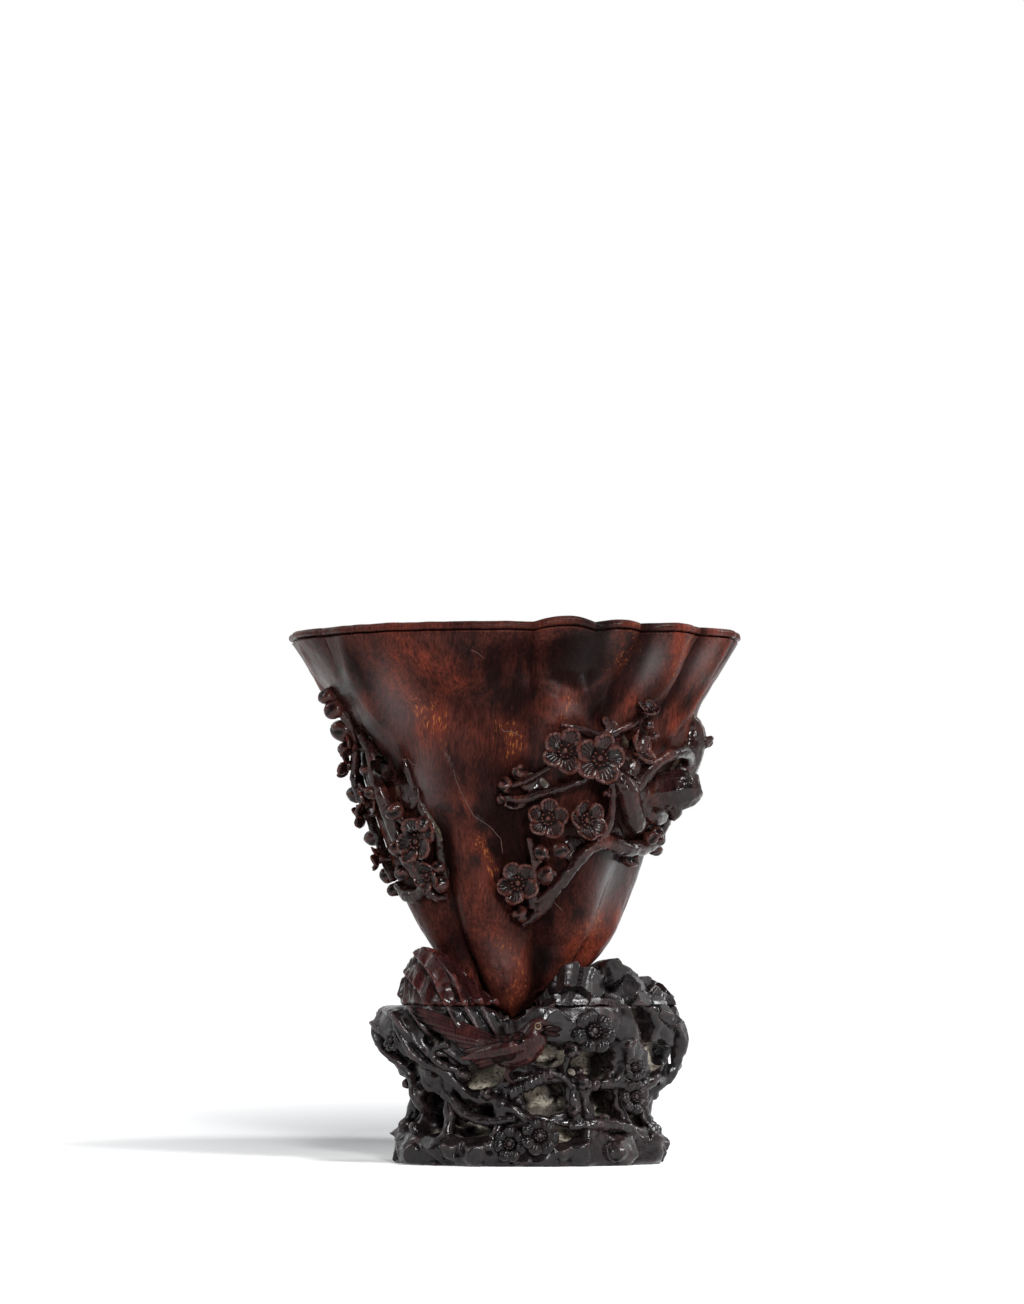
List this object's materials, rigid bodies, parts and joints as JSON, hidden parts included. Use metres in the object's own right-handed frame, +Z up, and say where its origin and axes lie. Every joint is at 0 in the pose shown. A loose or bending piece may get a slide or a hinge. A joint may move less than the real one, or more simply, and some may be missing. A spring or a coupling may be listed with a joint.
{
  "type": "libation cup",
  "caption": "Flaring aloeswood libation cup with a lobed rim, carved prunus sprays and root lobes, seated in the socket of a pierced rock stand with a perched bird.",
  "frame": {"origin": "middle of the stand's flat resting face", "axes": "+Z up out of the bowl, -Y to the front with the bird, +X to the right seen from the front"},
  "size_m": [0.129, 0.094, 0.1485],
  "materials": {
    "cup_wood": "dark reddish brown fragrant wood, satin hand polish with orange brown flecks",
    "cup_spray_wood": "darker reddish brown carved wood, worn and glossy on its edges",
    "stand_wood": "near black purplish hardwood, polished facets with pale dust in the recesses",
    "bird_wood": "reddish brown hardwood, polished, finely cut feathers"
  },
  "bodies": {
    "stand": {"stand_block": "stand_wood", "left_crag": "bird_wood", "right_crag": "stand_wood", "back_crag": "stand_wood", "bird": "bird_wood", "stand_blossom_beak": "stand_wood", "stand_blossom_left": "stand_wood", "stand_blossom_right_upper": "stand_wood", "stand_blossom_right": "stand_wood", "stand_blossom_base_right": "stand_wood", "stand_blossom_base_left": "stand_wood", "stand_blossom_back": "stand_wood", "stand_twig": "stand_wood", "stand_left_twig": "stand_wood", "stand_back_twig": "stand_wood"},
    "cup": {"cup_wall": "cup_wood", "front_blossom_upper_left": "cup_spray_wood", "front_blossom_upper_mid": "cup_spray_wood", "front_blossom_fan": "cup_spray_wood", "front_blossom_top": "cup_spray_wood", "front_blossom_mid_left": "cup_spray_wood", "front_blossom_mid_right": "cup_spray_wood", "front_blossom_low": "cup_spray_wood", "left_blossom_top": "cup_spray_wood", "left_blossom_side": "cup_spray_wood", "left_pod": "cup_spray_wood", "left_blossom_upper": "cup_spray_wood", "left_blossom_low": "cup_spray_wood", "back_blossom_upper": "cup_spray_wood", "back_blossom_low": "cup_spray_wood", "front_limb": "cup_spray_wood", "front_twig": "cup_spray_wood", "front_bud_stem": "cup_spray_wood", "drooping_spur": "cup_spray_wood", "arching_limb": "cup_spray_wood", "hollow_stump": "cup_spray_wood", "top_ridge_twig": "cup_spray_wood", "left_limb": "cup_spray_wood", "left_outer_twig": "cup_spray_wood", "left_ground_rim": "cup_spray_wood", "back_limb": "cup_spray_wood", "back_twig": "cup_spray_wood"}
  },
  "joints": [
    {"name": "cup_lift", "type": "slide", "parent": "stand", "child": "cup", "axis": [0, 0, 1], "range_m": [0, 0.06]}
  ]
}
